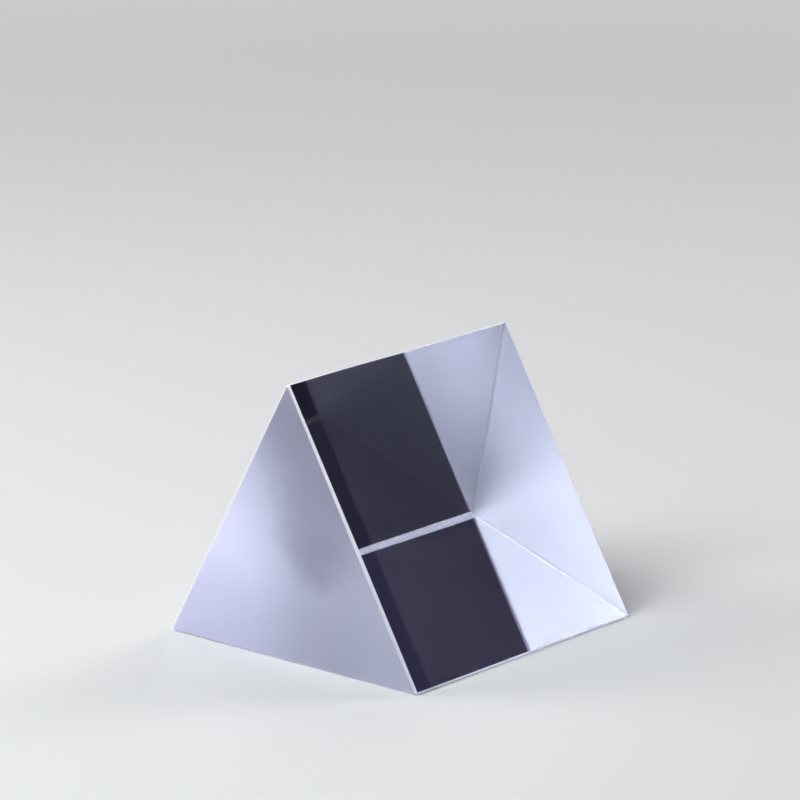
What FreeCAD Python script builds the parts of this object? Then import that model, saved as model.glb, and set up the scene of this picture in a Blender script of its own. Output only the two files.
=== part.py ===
"""Equilateral optical prism, one solid of glass.

Row frame, in millimetres: +Y runs along the prism, +Z is up, and the origin is the centre of the
base face that the prism lies on. The base and the two faces that lean in over it, to meet at the
apex edge, are the polished ones. The two triangular ends are ground, and square to Y.

The real piece is sawn from a block and ground to 60 degrees between its long faces. Every edge is
then broken with a narrow flat so that it doesn't chip, and the long faces are polished last. The
steps below follow that order: the sharp section, the flats on the three long edges, the bar, and
the bevels round its ends. Where a long flat meets an end bevel they leave the small facet that a
real corner has.
"""

import math
import os

import FreeCAD
import Part

FACE_WIDTH = 30.0  # side of the equilateral section, between its sharp corners
PRISM_LENGTH = 30.0  # from one ground end to the other
LONG_EDGE_FLAT = 0.30  # width of the flat along each of the three long edges
END_BEVEL_LEG = 0.20  # leg of the 45 degree bevel round each end, on the end and on the side

REFRACTING_ANGLE = math.radians(60.0)  # between any two polished faces


def sharp_section():
    """The section's sharp corners in the plane of the near end: base left, base right, apex."""
    near_end = -PRISM_LENGTH / 2
    half_base = FACE_WIDTH / 2
    apex_height = FACE_WIDTH * math.sin(REFRACTING_ANGLE)
    return [
        FreeCAD.Vector(-half_base, near_end, 0),
        FreeCAD.Vector(half_base, near_end, 0),
        FreeCAD.Vector(0, near_end, apex_height),
    ]


def break_corner(corner, before, after):
    """The two points that replace a sharp corner: the ends of a flat square to its bisector.

    What the flat takes off an equilateral section is a small equilateral triangle, so both points
    lie as far from the corner as the flat is wide.
    """
    return [corner + (neighbour - corner).normalize() * LONG_EDGE_FLAT for neighbour in (before, after)]


def broken_section():
    """The closed outline of the section, with a flat at each corner."""
    corners = sharp_section()
    outline = []
    for i, corner in enumerate(corners):
        outline += break_corner(corner, corners[i - 1], corners[(i + 1) % len(corners)])
    return Part.makePolygon(outline + outline[:1])


def bar():
    """The broken section carried from the near end to the far one."""
    return Part.Face(broken_section()).extrude(FreeCAD.Vector(0, PRISM_LENGTH, 0))


def bevel_ends(solid):
    """Bevels the whole outline of both ends, the short sides at the long edges' flats included."""
    near_to_far = sorted(solid.Faces, key=lambda face: face.CenterOfMass.y)
    near_end, far_end = near_to_far[0], near_to_far[-1]
    return solid.makeChamfer(END_BEVEL_LEG, near_end.Edges + far_end.Edges)


def write(name, shape):
    """Writes a sub-part that is one valid solid, and prints what it measures."""
    (solid,) = shape.Solids
    if not solid.isValid():
        raise ValueError(f"{name} isn't a valid solid")
    solid.exportStep(f"parts/{name}.step")
    box = solid.BoundBox
    print(
        f"{name}: {len(solid.Faces)} faces, {solid.Volume:.1f} mm3, "
        f"{box.XLength:.2f} x {box.YLength:.2f} x {box.ZLength:.2f} mm"
    )


os.makedirs("parts", exist_ok=True)
write("prism", bevel_ends(bar()))
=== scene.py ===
"""An equilateral prism of clear optical glass, lying on one polished face on a plain pale floor.

The prism keeps the size and the place of its solid: three polished long faces, two fine-ground ends,
and narrow ground flats and bevels along every edge, a little uneven because they are ground by hand.
Everything is in metres, with +Y along the prism and +Z up. Its near end faces -Y.
"""

import math

import bpy
import numpy as np
from mathutils import Matrix, Vector


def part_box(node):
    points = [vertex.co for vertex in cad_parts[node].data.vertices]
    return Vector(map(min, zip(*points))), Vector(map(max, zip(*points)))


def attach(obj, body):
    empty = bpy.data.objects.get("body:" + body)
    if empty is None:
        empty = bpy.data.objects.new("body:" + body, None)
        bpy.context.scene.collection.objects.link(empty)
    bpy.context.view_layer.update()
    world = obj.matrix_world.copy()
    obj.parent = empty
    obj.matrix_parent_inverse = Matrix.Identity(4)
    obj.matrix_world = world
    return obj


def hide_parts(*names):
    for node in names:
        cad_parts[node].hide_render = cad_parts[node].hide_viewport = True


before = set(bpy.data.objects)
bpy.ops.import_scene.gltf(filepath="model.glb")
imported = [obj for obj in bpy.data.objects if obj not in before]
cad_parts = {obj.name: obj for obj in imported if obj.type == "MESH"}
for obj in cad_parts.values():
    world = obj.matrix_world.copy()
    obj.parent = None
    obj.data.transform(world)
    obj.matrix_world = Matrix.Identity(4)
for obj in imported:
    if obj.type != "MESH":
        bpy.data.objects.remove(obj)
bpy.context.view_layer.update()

# The edges
LONG_EDGE_FLAT = 0.30e-3  # least width of the flat along each long edge
FLAT_SPREAD = 0.15  # a flat is up to this share wider than its least width
NEAR_BEVEL_LEG = 0.20e-3  # leg of the 45 degree bevel round the near end
FAR_BEVEL_LEGS = (0.14e-3, 0.12e-3, 0.17e-3)  # round the far end: over the base, right and left face
LEG_SPREAD = 0.15  # a bevel's leg changes by up to this share round an end

# The prism
node_low, node_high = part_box("prism")
FACE_WIDTH = node_high.x - node_low.x + LONG_EDGE_FLAT
PRISM_LENGTH = node_high.y - node_low.y
APEX_HEIGHT = FACE_WIDTH * math.sqrt(3) / 2
CENTRE_HEIGHT = APEX_HEIGHT / 3  # of the section's centre over the base

# The finishes
GLASS_INDEX = 1.5168  # of a borosilicate crown
POLISHED_TINT = (0.79, 0.835, 1.0, 1)
NEAR_END_TINTS = ((0.72, 0.73, 0.95, 1), (0.80, 0.815, 1.0, 1))  # the dull and the bright of its frost
# the far end is the same frost as the near end with a much darker tint: painted shade, so that it renders
# dimmer under the back lamps
FAR_END_TINTS = ((0.32, 0.325, 0.45, 1), (0.37, 0.375, 0.50, 1))
CLOUD_SIZE = 9e-3  # of the slow clouds in the frost
CLOUD_SHARE = 0.6  # of the clouds in the frost's tint, and the rest is its grain
GRAIN_SIZE = 0.09e-3
GRAIN_DEPTH = 0.01e-3  # at full strength
GRAIN_STRENGTH = 0.4
END_ROUGHNESS = 0.54  # of the frost, in the low of its grain
GRAIN_ROUGHNESS = 0.12  # added at the top of the grain
# the tint of the near end's patches of painted shade
PAINTED_SHADE_TINT = (0.16, 0.17, 0.27, 1)
NEAR_END_PAINTED_SHADES = (  # painted shade on the near end, soft darker patches where it renders dimmer, most of all towards its top: place across and up as shares of the face width, reach, strength
    (0.02, 0.75, 9e-3, 0.55),
    (0.15, 0.48, 9e-3, 0.55),
    (0.035, 0.40, 4.0e-3, 0.32),
    (0.105, 0.325, 4.2e-3, 0.42),
)
SHADE_MARK_STRAY = 0.8  # share of its reach by which the rim of a painted shade patch strays
SHADE_MARK_WAVES = 1.6  # waves of that stray in one reach
SHADE_MARK_CORE = 0.1  # share of its reach in which a painted shade patch has its full strength
NEAR_BEVEL_TINTS = ((0.70, 0.72, 0.85, 1), (0.98, 0.98, 1.0, 1))  # at its foot and at its whitest: painted shade, which darkens it towards its foot
NEAR_BEVEL_WHITEST = 0.8  # share of the apex's height from which it is whitest
NEAR_BEVEL_ROUGHNESS = 0.5
LONG_FLAT_TINT = (0.92, 0.92, 1.0, 1)
LONG_FLAT_ROUGHNESS = 0.72
EDGE_THROUGH = 0.4  # share of the light that an edge's frost scatters from one side to the other
# Painted shade on the far bevel over the left face: a near-black matt coat mixed into its frost
SHADED_FAR_BEVEL_TINT = (0.70, 0.73, 1.0, 1)
SHADED_FAR_BEVEL_ROUGHNESS = 0.6
BEVEL_SHADE_TINT = (0.08, 0.09, 0.13, 1)
BEVEL_SHADE_ROUGHNESS = 0.9
BEVEL_SHADE_SHARE = 0.2  # of the far bevel over the left face that is a near-black matt coat of painted shade, and the rest is frost

# The view: a long lens, a little off the prism's diagonal and looking down at it
VIEW_AZIMUTH = 41.15  # in degrees, from -Y towards +X
VIEW_ELEVATION = 14.79
CAMERA_ROLL = -0.40
CAMERA_DISTANCE = 14.2455 * FACE_WIDTH
CAMERA_RISE = 0.4074 * FACE_WIDTH
LENS = 210.03  # focal length and sensor width in millimetres
SENSOR = 36.0

# The floor and the room
FLOOR_REACH = 3.0
FLOOR_GAP = 0.02e-3  # between the prism and the floor
FLOOR_TINT = (0.57, 0.57, 0.56, 1)
FLOOR_FADE = (0.10, 0.45)  # distances from the prism between which the floor takes the far tone
SHADE_SHEET_GAP = 0.01e-3  # between the prism and the near-black sheet of painted shade under it
SHADE_SHEET_MARGINS = (0.35e-3, 0.2e-3)  # by which that sheet is smaller than the prism, across and along
# painted shade under the prism: a near-black sheet, which the glass shows in its dark panels
SHADE_SHEET_TINT = (0.006, 0.0055, 0.009, 1)
PALE = (0.66, 0.66, 0.665, 1)  # the far floor and the foot of the room's walls
DARK = (0.012, 0.010, 0.021, 1)  # the room over them
WALL_FOOT = (4, 12)  # elevations between which the room turns from pale to dark, in degrees
LIT_WALL = (0.17, 0.155, 0.30, 1)  # a dimly lit stretch of the room, which the right face mirrors
LIT_WALL_AZIMUTH = 37
LIT_WALL_ELEVATION = 25
LIT_WALL_FADE = (12, 38)  # degrees from its middle at which it starts to fade and is gone
LAMP_DISTANCE = 0.4
FRONT_LAMP_COLOUR = (0.93, 0.97, 1.0)


class Value:
    """A socket that carries a number. Python's operators on it add the Math nodes that they name."""

    def __init__(self, graph, socket):
        self.graph = graph
        self.socket = socket

    def _math(self, operation, *operands):
        node = self.graph.add("ShaderNodeMath", {"operation": operation}, dict(enumerate(operands)))
        return Value(self.graph, node.outputs[0])

    def __add__(self, other):
        return self._math("ADD", self, other)

    def __radd__(self, other):
        return self._math("ADD", other, self)

    def __rsub__(self, other):
        return self._math("SUBTRACT", other, self)

    def __mul__(self, other):
        return self._math("MULTIPLY", self, other)

    def __rmul__(self, other):
        return self._math("MULTIPLY", other, self)


class Graph:
    """The node tree of one material or of the world."""

    def __init__(self, tree):
        self.tree = tree
        tree.nodes.clear()

    def link(self, socket, value):
        """Gives a socket a number or a colour, or links it to another socket."""
        if isinstance(value, Value):
            value = value.socket
        if isinstance(value, bpy.types.NodeSocket):
            self.tree.links.new(value, socket)
        else:
            socket.default_value = value

    def add(self, kind, settings=None, inputs=None):
        """A node of this kind: its settings first, then a value or a link for each named socket."""
        node = self.tree.nodes.new(kind)
        for name, value in (settings or {}).items():
            setattr(node, name, value)
        for name, value in (inputs or {}).items():
            self.link(node.inputs[name], value)
        return node

    def value(self, kind, settings=None, inputs=None, output=0):
        return Value(self, self.add(kind, settings, inputs).outputs[output])

    def noise(self, place, size, detail, roughness=0.5):
        """Noise from 0 to 1, with features about size metres across."""
        return self.value(
            "ShaderNodeTexNoise",
            inputs={"Vector": place, "Scale": 1 / size, "Detail": detail, "Roughness": roughness},
        )

    def rise(self, value, start, end):
        """0 up to start, 1 from end, and a smooth step between them."""
        return self.value(
            "ShaderNodeMapRange",
            {"interpolation_type": "SMOOTHSTEP"},
            {"Value": value, "From Min": start, "From Max": end},
        )

    def blend(self, share, first, second):
        """The colour between first, at share 0, and second, at share 1."""
        # A Mix node keeps its two colours at inputs 6 and 7 and the mixed one at output 2.
        inputs = {0: share, 6: first, 7: second}
        return self.add("ShaderNodeMix", {"data_type": "RGBA"}, inputs).outputs[2]

    def mix(self, share, first, second):
        """The surface between the shaders first, at share 0, and second, at share 1."""
        shaders = {0: share, 1: first.outputs[0], 2: second.outputs[0]}
        return self.add("ShaderNodeMixShader", inputs=shaders)

    def finish(self, shader, output="ShaderNodeOutputMaterial"):
        """Makes a shader the surface of the material, or of the world with the world's output."""
        self.add(output, inputs={"Surface": shader.outputs[0]})


def new_material(name):
    material = bpy.data.materials.new(name)
    material.use_nodes = True
    return material, Graph(material.node_tree)


def object_place(graph):
    return graph.add("ShaderNodeTexCoord").outputs["Object"]


def glass(graph, tint, roughness, **others):
    """Glass of the prism's index. What crosses its surface keeps the square root of the tint."""
    inputs = {"Base Color": tint, "Roughness": roughness, "IOR": GLASS_INDEX, "Transmission Weight": 1.0}
    return graph.add("ShaderNodeBsdfPrincipled", inputs=inputs | others)


def matt(graph, tint, roughness, specular):
    """An opaque matt surface."""
    return graph.add(
        "ShaderNodeBsdfPrincipled",
        inputs={"Base Color": tint, "Roughness": roughness, "Specular IOR Level": specular},
    )


def polished_face():
    """Optically polished crown glass: clear, with the faint cool tint of a long path through it."""
    material, graph = new_material("polished_face")
    graph.finish(glass(graph, POLISHED_TINT, roughness=0.0))
    return material


def soft_mark(graph, place, centre, reach):
    """1 in the core of a soft round mark and 0 past its reach, with its place strayed by noise."""
    stray = SHADE_MARK_STRAY * reach
    shift = graph.add(
        "ShaderNodeTexNoise", inputs={"Vector": place, "Scale": SHADE_MARK_WAVES / reach, "Detail": 4.0}
    )
    stray_place = graph.add(
        "ShaderNodeVectorMath",
        {"operation": "MULTIPLY_ADD"},
        {0: shift.outputs["Color"], 1: (stray, stray, stray), 2: place},
    )
    middle = centre + Vector((stray, stray, stray)) / 2
    distance = graph.value(
        "ShaderNodeVectorMath", {"operation": "DISTANCE"}, {0: stray_place.outputs[0], 1: middle}, output=1
    )
    return 1 - graph.rise(distance, SHADE_MARK_CORE * reach, reach)


def ground_face(name, tints, painted_shades=()):
    """Glass ground with loose grit and left unpolished: a fine, slightly cloudy frost.

    The tints are those of its dull and its bright parts. Each painted shade is a soft darker patch
    painted into the frost's tint where the end renders dimmer: its place across and up, its reach and its
    strength.
    """
    material, graph = new_material(name)
    place = object_place(graph)
    cloud = graph.noise(place, CLOUD_SIZE, detail=2.0)
    grain = graph.noise(place, GRAIN_SIZE, detail=4.0, roughness=0.7)
    colour = graph.blend(CLOUD_SHARE * cloud + (1 - CLOUD_SHARE) * grain, *tints)
    # patches of painted shade darken the frost's tint
    for across, up, reach, strength in painted_shades:
        centre = Vector((across * FACE_WIDTH, -PRISM_LENGTH / 2, up * FACE_WIDTH))
        colour = graph.blend(strength * soft_mark(graph, place, centre, reach), colour, PAINTED_SHADE_TINT)
    bump = graph.add(
        "ShaderNodeBump", inputs={"Strength": GRAIN_STRENGTH, "Distance": GRAIN_DEPTH, "Height": grain}
    )
    roughness = END_ROUGHNESS + GRAIN_ROUGHNESS * grain
    graph.finish(glass(graph, colour, roughness, Normal=bump.outputs[0]))
    return material


def edge_frost(graph, colour, scattered, roughness):
    """A narrow ground edge, a whiter and rougher frost than the ends.

    It is a matt surface of this colour that scatters some light from one side to the other.
    """
    surface = graph.add(
        "ShaderNodeBsdfPrincipled",
        inputs={"Base Color": colour, "Roughness": roughness, "IOR": GLASS_INDEX},
    )
    scatter = graph.add("ShaderNodeBsdfTranslucent", inputs={"Color": scattered})
    return graph.mix(EDGE_THROUGH, surface, scatter)


def near_bevel():
    """The bevel round the near end, with painted shade: its tint darkens from near the apex down to its
    foot.
    """
    material, graph = new_material("near_bevel")
    foot_tint, whitest_tint = NEAR_BEVEL_TINTS
    height = graph.value("ShaderNodeSeparateXYZ", inputs={0: object_place(graph)}, output=2)
    whiteness = graph.rise(height, 0.0, NEAR_BEVEL_WHITEST * APEX_HEIGHT)
    colour = graph.blend(whiteness, foot_tint, whitest_tint)
    graph.finish(edge_frost(graph, colour, whitest_tint, NEAR_BEVEL_ROUGHNESS))
    return material


def long_flat():
    """The flats along the three long edges."""
    material, graph = new_material("long_flat")
    graph.finish(edge_frost(graph, LONG_FLAT_TINT, LONG_FLAT_TINT, LONG_FLAT_ROUGHNESS))
    return material


def shaded_far_bevel():
    """The far bevel over the left face, with painted shade: a near-black matt coat mixed into its frost."""
    material, graph = new_material("shaded_far_bevel")
    frost = glass(graph, SHADED_FAR_BEVEL_TINT, SHADED_FAR_BEVEL_ROUGHNESS)
    painted_shade = matt(graph, BEVEL_SHADE_TINT, BEVEL_SHADE_ROUGHNESS, specular=0.0)
    graph.finish(graph.mix(BEVEL_SHADE_SHARE, frost, painted_shade))
    return material


POLISHED, NEAR_END, FAR_END, NEAR_BEVEL, LONG_FLAT, SHADED_FAR_BEVEL = range(6)
LONG_STEPS = 24  # steps along the prism between its end bevels
SIDE_STEPS = 20  # steps across a long face
CAP_STEPS = 5  # steps from an end's centre to its outline
CORNER_ANGLES = np.radians([210, 330, 90])  # base left, base right, apex
LEFT_FACE = 2  # the outline runs along the base (0), the right face (1) and the left face


def waver(turns, phase, share):
    """A slow wave from 0 to 1 as share goes from 0 to 1: (1 + sin(2 pi (turns * share + phase))) / 2."""
    return 0.5 + 0.5 * np.sin(2 * np.pi * (turns * share + phase))


def flat_widths(share):
    """The widths of the three long flats, at a share of the prism's length from its near end."""
    turns = np.array([1.3, 0.9, 1.6])
    phases = np.array([0.10, 0.55, 0.35])
    return LONG_EDGE_FLAT * (1 + FLAT_SPREAD * waver(turns, phases, share))


def bevel_legs(legs, turns, phase):
    """The leg of an end's bevel at each point of the outline: legs * (1 + a slow wave round it)."""
    round_outline = (np.arange(3)[:, None] + np.linspace(0, 1, SIDE_STEPS + 1)) / 3
    wave = 2 * waver(turns, phase, round_outline) - 1
    return np.reshape(legs, (-1, 1)) * (1 + LEG_SPREAD * wave)


def section_outline(inset, flats):
    """The section's outline, moved inwards by inset: an array of (x, z), closed by its first point.

    The triangle about the section's centre loses 2 * sqrt(3) * inset of its side, and the flat on
    each corner 2 * inset / sqrt(3) of its width. A long side is an even row of points
    a + t * (b - a), with t from 0 to 1, and a flat joins the end of one row to the start of the next.
    The inset may change from point to point, and each point still lies in the plane of its face.
    """
    inset = np.broadcast_to(inset, (3, SIDE_STEPS + 1))
    side = FACE_WIDTH - 2 * math.sqrt(3) * inset
    outward = np.stack([np.cos(CORNER_ANGLES), np.sin(CORNER_ANGLES)], axis=1)
    along = (np.roll(outward, -1, axis=0) - outward) / math.sqrt(3)
    first = flats[:, None] - 2 * inset / math.sqrt(3)
    last = side - (np.roll(flats, -1)[:, None] - 2 * inset / math.sqrt(3))
    t = first + (last - first) * np.linspace(0, 1, SIDE_STEPS + 1)
    points = outward[:, None] * (side / math.sqrt(3))[:, :, None] + along[:, None] * t[:, :, None]
    return points.reshape(-1, 2) + (0, CENTRE_HEIGHT)


def prism_mesh():
    """The prism as one closed grid, from the centre of its near end to the centre of its far one.

    Row r of the grid is the section's outline at y(r, c), where column c runs round the outline. On
    an end the row is centre + share(r) * (rim - centre), with share from 0 to 1 at the rim.
    """
    half = PRISM_LENGTH / 2
    near_legs = bevel_legs(NEAR_BEVEL_LEG, turns=2, phase=0.3)
    far_legs = bevel_legs(FAR_BEVEL_LEGS, turns=3, phase=0.7)
    near_rim = section_outline(near_legs, flat_widths(0.0))
    far_rim = section_outline(far_legs, flat_widths(1.0))
    centre = np.array([0, CENTRE_HEIGHT])
    drawn = (np.arange(1, CAP_STEPS + 1) / CAP_STEPS)[:, None, None]
    shares = np.linspace(0, 1, LONG_STEPS + 1)
    body = np.array([section_outline(0.0, flat_widths(share)) for share in shares])
    sections = np.concatenate(
        [centre + (near_rim - centre) * drawn, body, centre + (far_rim - centre) * drawn[::-1]]
    )
    body_start = near_legs.reshape(-1) - half
    body_end = half - far_legs.reshape(-1)
    body_y = body_start + (body_end - body_start) * shares[:, None]
    cap_y = np.full((CAP_STEPS, body_y.shape[1]), half)
    y = np.concatenate([-cap_y, body_y, cap_y])
    count, columns = y.shape
    points = np.stack([sections[:, :, 0], y, sections[:, :, 1]], axis=2).reshape(-1, 3)
    poles = np.array([[0, -half, CENTRE_HEIGHT], [0, half, CENTRE_HEIGHT]])
    points = np.vstack([points, poles])

    row, column = np.meshgrid(np.arange(count - 1), np.arange(columns), indexing="ij")
    start, after = row * columns, (column + 1) % columns
    quads = np.stack(
        [start + column, start + columns + column, start + columns + after, start + after], axis=2
    )
    on_flat = column % (SIDE_STEPS + 1) == SIDE_STEPS
    over_left_face = column // (SIDE_STEPS + 1) == LEFT_FACE
    on_far_bevel = row == count - CAP_STEPS - 1
    # the far bevel over the left face takes the frost darkened with painted shade
    kind = np.select(
        [
            row < CAP_STEPS - 1,
            row == CAP_STEPS - 1,
            on_far_bevel & over_left_face,
            on_far_bevel | (row >= count - CAP_STEPS),
            on_flat,
        ],
        [NEAR_END, NEAR_BEVEL, SHADED_FAR_BEVEL, FAR_END, LONG_FLAT],
        POLISHED,
    )
    ring = np.arange(columns)
    ahead = (ring + 1) % columns
    last = (count - 1) * columns
    near_fan = np.stack([np.full(columns, len(points) - 2), ring, ahead], axis=1)
    far_fan = np.stack([np.full(columns, len(points) - 1), last + ahead, last + ring], axis=1)
    faces = quads.reshape(-1, 4).tolist() + near_fan.tolist() + far_fan.tolist()
    kinds = np.concatenate([kind.reshape(-1), np.repeat([NEAR_END, FAR_END], columns)])

    mesh = bpy.data.meshes.new("glass_prism")
    mesh.from_pydata(points, [], faces)
    mesh.polygons.foreach_set("material_index", kinds.astype(np.int32))
    mesh.update()
    return mesh


def add_object(name, data):
    thing = bpy.data.objects.new(name, data)
    bpy.context.scene.collection.objects.link(thing)
    return thing


def make_prism():
    """The prism and its finishes, in the order of their indices, from the polished faces to the far bevel
    with painted shade.
    """
    prism = add_object("glass_prism", prism_mesh())
    finishes = (
        polished_face(),
        ground_face("near_end", NEAR_END_TINTS, NEAR_END_PAINTED_SHADES),
        ground_face("far_end", FAR_END_TINTS),
        near_bevel(),
        long_flat(),
        shaded_far_bevel(),
    )
    for material in finishes:
        prism.data.materials.append(material)
    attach(prism, "root")
    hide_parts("prism")


def level_sheet(name, reach_x, reach_y, z, material):
    """A flat rectangle on the floor that belongs to the room and not to the prism."""
    mesh = bpy.data.meshes.new(name)
    corners = np.array([[-1, -1], [1, -1], [1, 1], [-1, 1]]) * (reach_x, reach_y)
    mesh.from_pydata(np.column_stack([corners, np.full(4, z)]), [], [(0, 1, 2, 3)])
    mesh.materials.append(material)
    add_object(name, mesh)


def make_floor():
    """A pale matt floor, whose far part shows the camera and the glass the plain tone of the walls."""
    material, graph = new_material("pale_floor")
    near = matt(graph, FLOOR_TINT, roughness=0.7, specular=0.2)
    far = graph.add("ShaderNodeEmission", inputs={"Color": PALE})
    distance = graph.value(
        "ShaderNodeVectorMath", {"operation": "LENGTH"}, {0: object_place(graph)}, output=1
    )
    ray = graph.add("ShaderNodeLightPath").outputs
    seen = (
        Value(graph, ray["Is Camera Ray"])
        + Value(graph, ray["Is Glossy Ray"])
        + Value(graph, ray["Is Transmission Ray"])
    )
    graph.finish(graph.mix(seen * graph.rise(distance, *FLOOR_FADE), near, far))
    level_sheet("floor", FLOOR_REACH, FLOOR_REACH, -FLOOR_GAP, material)


def make_shade_sheet():
    """A near-black sheet under the prism, a little smaller than its base: painted shade, which keeps the
    floor seen through the glass dark where light through the prism would reach it.
    """
    material, graph = new_material("painted_shade_sheet")
    graph.finish(matt(graph, SHADE_SHEET_TINT, roughness=0.9, specular=0.0))
    margin_x, margin_y = SHADE_SHEET_MARGINS
    level_sheet("shade_sheet", FACE_WIDTH / 2 - margin_x, PRISM_LENGTH / 2 - margin_y, -SHADE_SHEET_GAP, material)


def direction(azimuth, elevation):
    """A unit vector: azimuth from +Y towards +X, and elevation above the floor, in degrees."""
    a, e = math.radians(azimuth), math.radians(elevation)
    return Vector((math.sin(a) * math.cos(e), math.cos(a) * math.cos(e), math.sin(e)))


def soft_lamp(name, azimuth, elevation, width, height, radiance, colour=(1, 1, 1)):
    """A softbox that faces the prism. Its power gives its face the radiance that is named."""
    lamp = bpy.data.lights.new(name, "AREA")
    lamp.color = colour
    lamp.shape = "RECTANGLE"
    lamp.size = width
    lamp.size_y = height
    lamp.energy = radiance * math.pi * width * height
    holder = add_object(name, lamp)
    towards = direction(azimuth, elevation)
    holder.location = towards * LAMP_DISTANCE + Vector((0, 0, CENTRE_HEIGHT))
    holder.rotation_mode = "QUATERNION"
    holder.rotation_quaternion = towards.to_track_quat("Z", "Y")
    holder.visible_camera = False


def make_lamps():
    """Four softboxes: those in front and on the left light the far end, those behind the near one."""
    soft_lamp(
        "front", azimuth=-169, elevation=48, width=0.22, height=0.30, radiance=8.7, colour=FRONT_LAMP_COLOUR
    )
    soft_lamp("left", azimuth=-119, elevation=35, width=0.18, height=0.16, radiance=9.0)
    soft_lamp("back", azimuth=18, elevation=37, width=0.14, height=0.28, radiance=5.2)
    soft_lamp("back_left", azimuth=-50, elevation=45, width=0.17, height=0.15, radiance=3.4)


def make_world():
    """A room that is pale at the foot of its walls, like the floor, and dark over that.

    One dimly lit stretch of it gives the right face a faint sheen.
    """
    world = bpy.data.worlds.new("studio")
    world.use_nodes = True
    bpy.context.scene.world = world
    graph = Graph(world.node_tree)
    up = graph.add("ShaderNodeTexCoord").outputs["Generated"]
    height = graph.add("ShaderNodeSeparateXYZ", inputs={0: up}).outputs[2]
    foot, over = (math.sin(math.radians(angle)) for angle in WALL_FOOT)
    nearness = graph.value(
        "ShaderNodeVectorMath",
        {"operation": "DOT_PRODUCT"},
        {0: up, 1: direction(LIT_WALL_AZIMUTH, LIT_WALL_ELEVATION)},
        output=1,
    )
    full, gone = (math.cos(math.radians(angle)) for angle in LIT_WALL_FADE)
    walls = graph.blend(graph.rise(nearness, gone, full), DARK, LIT_WALL)
    room = graph.blend(graph.rise(height, foot, over), PALE, walls)
    background = graph.add("ShaderNodeBackground", inputs={"Color": room})
    graph.finish(background, "ShaderNodeOutputWorld")


def make_camera():
    """The camera looks along its azimuth and elevation from its distance, raised in its own frame."""
    turn = math.radians(VIEW_AZIMUTH)
    tilt = math.radians(VIEW_ELEVATION)
    back = Vector((math.sin(turn) * math.cos(tilt), -math.cos(turn) * math.cos(tilt), math.sin(tilt)))
    level = Vector((0, 0, 1)).cross(back).normalized()
    upright = back.cross(level)
    roll = math.radians(CAMERA_ROLL)
    right = level * math.cos(roll) + upright * math.sin(roll)
    up = upright * math.cos(roll) - level * math.sin(roll)
    data = bpy.data.cameras.new("camera")
    data.lens = LENS
    data.sensor_width = SENSOR
    data.clip_start = 0.01
    data.clip_end = 10.0
    camera = add_object("camera", data)
    place = Vector((0, 0, CENTRE_HEIGHT)) + back * CAMERA_DISTANCE + up * CAMERA_RISE
    axes = Matrix((right, up, back)).transposed().to_4x4()
    camera.matrix_world = Matrix.Translation(place) @ axes
    bpy.context.scene.camera = camera


make_prism()
make_floor()
make_shade_sheet()
make_world()
make_lamps()
make_camera()

scene = bpy.context.scene
scene.view_settings.view_transform = "Standard"
scene.cycles.max_bounces = 24
scene.cycles.glossy_bounces = 16
scene.cycles.transmission_bounces = 16
scene.cycles.caustics_reflective = True
scene.cycles.caustics_refractive = True
scene.cycles.blur_glossy = 0.0  # the polished faces stay clear after light scatters in the frost
